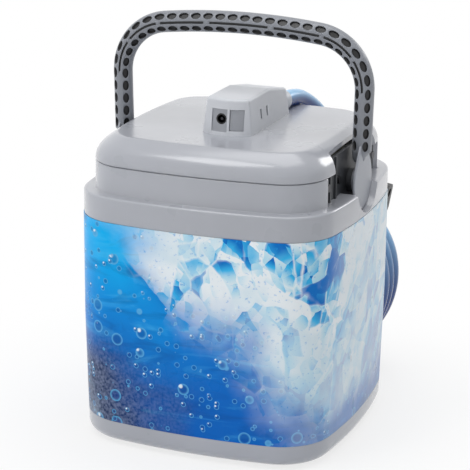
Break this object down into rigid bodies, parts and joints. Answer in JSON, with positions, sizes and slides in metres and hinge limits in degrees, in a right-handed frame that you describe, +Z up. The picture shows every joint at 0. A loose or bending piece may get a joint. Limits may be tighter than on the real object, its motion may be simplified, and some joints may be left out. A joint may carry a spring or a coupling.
{
  "type": "cold therapy machine",
  "caption": "Motorised cold and hot water therapy cooler with a printed tub, swing handle, lid pump and coiled hose.",
  "frame": {"origin": "on the floor under the middle of the tub, which stands on its four feet", "axes": "+Z up; -Y the front, where the power inlet is; +X to the right seen from the front"},
  "size_m": [0.2105, 0.2663, 0.3215],
  "materials": {
    "shell_plastic": "satin light grey",
    "panel_plastic": "satin mid grey",
    "label_film": "glossy printed film",
    "handle_plastic": "satin grey",
    "dark_plastic": "matt",
    "foot_rubber": "matt",
    "foam": "matt",
    "liner_plastic": "satin",
    "pump_plastic": "satin",
    "steel": "plain",
    "blackened_steel": "blackened",
    "black_plastic": "satin",
    "board": "satin",
    "gland_plastic": "satin",
    "clear_tube": "gloss",
    "hose_sleeve": "gloss",
    "ferrule_metal": "satin"
  },
  "bodies": {
    "root": {"bucket_shell": "shell_plastic", "label_wrap": "label_film", "base_feet": "foot_rubber", "insulation_foam": "foam", "reservoir_liner": "liner_plastic", "rim_ring": "shell_plastic", "handle_bracket_left": "dark_plastic", "handle_bracket_right": "dark_plastic", "pivot_pins": "steel", "bracket_screws": "blackened_steel"},
    "handle": {"handle_frame": "handle_plastic", "handle_core": "dark_plastic"},
    "lid": {"lid_shell": "shell_plastic", "lid_underside": "liner_plastic", "lid_foam": "foam", "lid_seal": "foot_rubber", "pump_housing": "shell_plastic", "jack_panel": "panel_plastic", "power_jack": "black_plastic", "jack_pin": "steel", "circuit_board": "board", "key_switch": "black_plastic", "pump_motor": "steel", "pump_volute": "pump_plastic", "intake_tube": "pump_plastic", "intake_strainer": "pump_plastic", "supply_tube": "clear_tube", "return_tube": "clear_tube", "housing_screws": "blackened_steel", "hose_gland": "gland_plastic", "hose_lead": "hose_sleeve", "hose_coil": "hose_sleeve", "hose_tail": "hose_sleeve", "hose_tie": "dark_plastic", "hose_coupling": "black_plastic", "coupling_ferrule": "ferrule_metal"},
    "impeller_wheel": {"impeller": "pump_plastic"},
    "button": {"power_button": "panel_plastic"},
    "latch": {"coupling_latch": "black_plastic"}
  },
  "joints": [
    {"name": "handle_swing", "type": "hinge", "parent": "root", "child": "handle", "pos_m": [0, 0.0016, 0.2007], "axis": [1, 0, 0], "range_deg": [-35, 35]},
    {"name": "lid_lift", "type": "slide", "parent": "root", "child": "lid", "axis": [0, 0, 1], "range_m": [0, 0.02]},
    {"name": "impeller_spin", "type": "hinge", "parent": "lid", "child": "impeller_wheel", "pos_m": [0.0042, -0.0014, 0.195], "axis": [0, 0, 1], "continuous": true},
    {"name": "button_press", "type": "slide", "parent": "lid", "child": "button", "axis": [0, 1, 0], "range_m": [0, 0.0015], "stiffness_N_per_m": 800, "springref_m": -0.001},
    {"name": "latch_press", "type": "slide", "parent": "lid", "child": "latch", "axis": [-0.1709, -0.0226, -0.985], "range_m": [0, 0.0012], "stiffness_N_per_m": 800, "springref_m": -0.001}
  ]
}
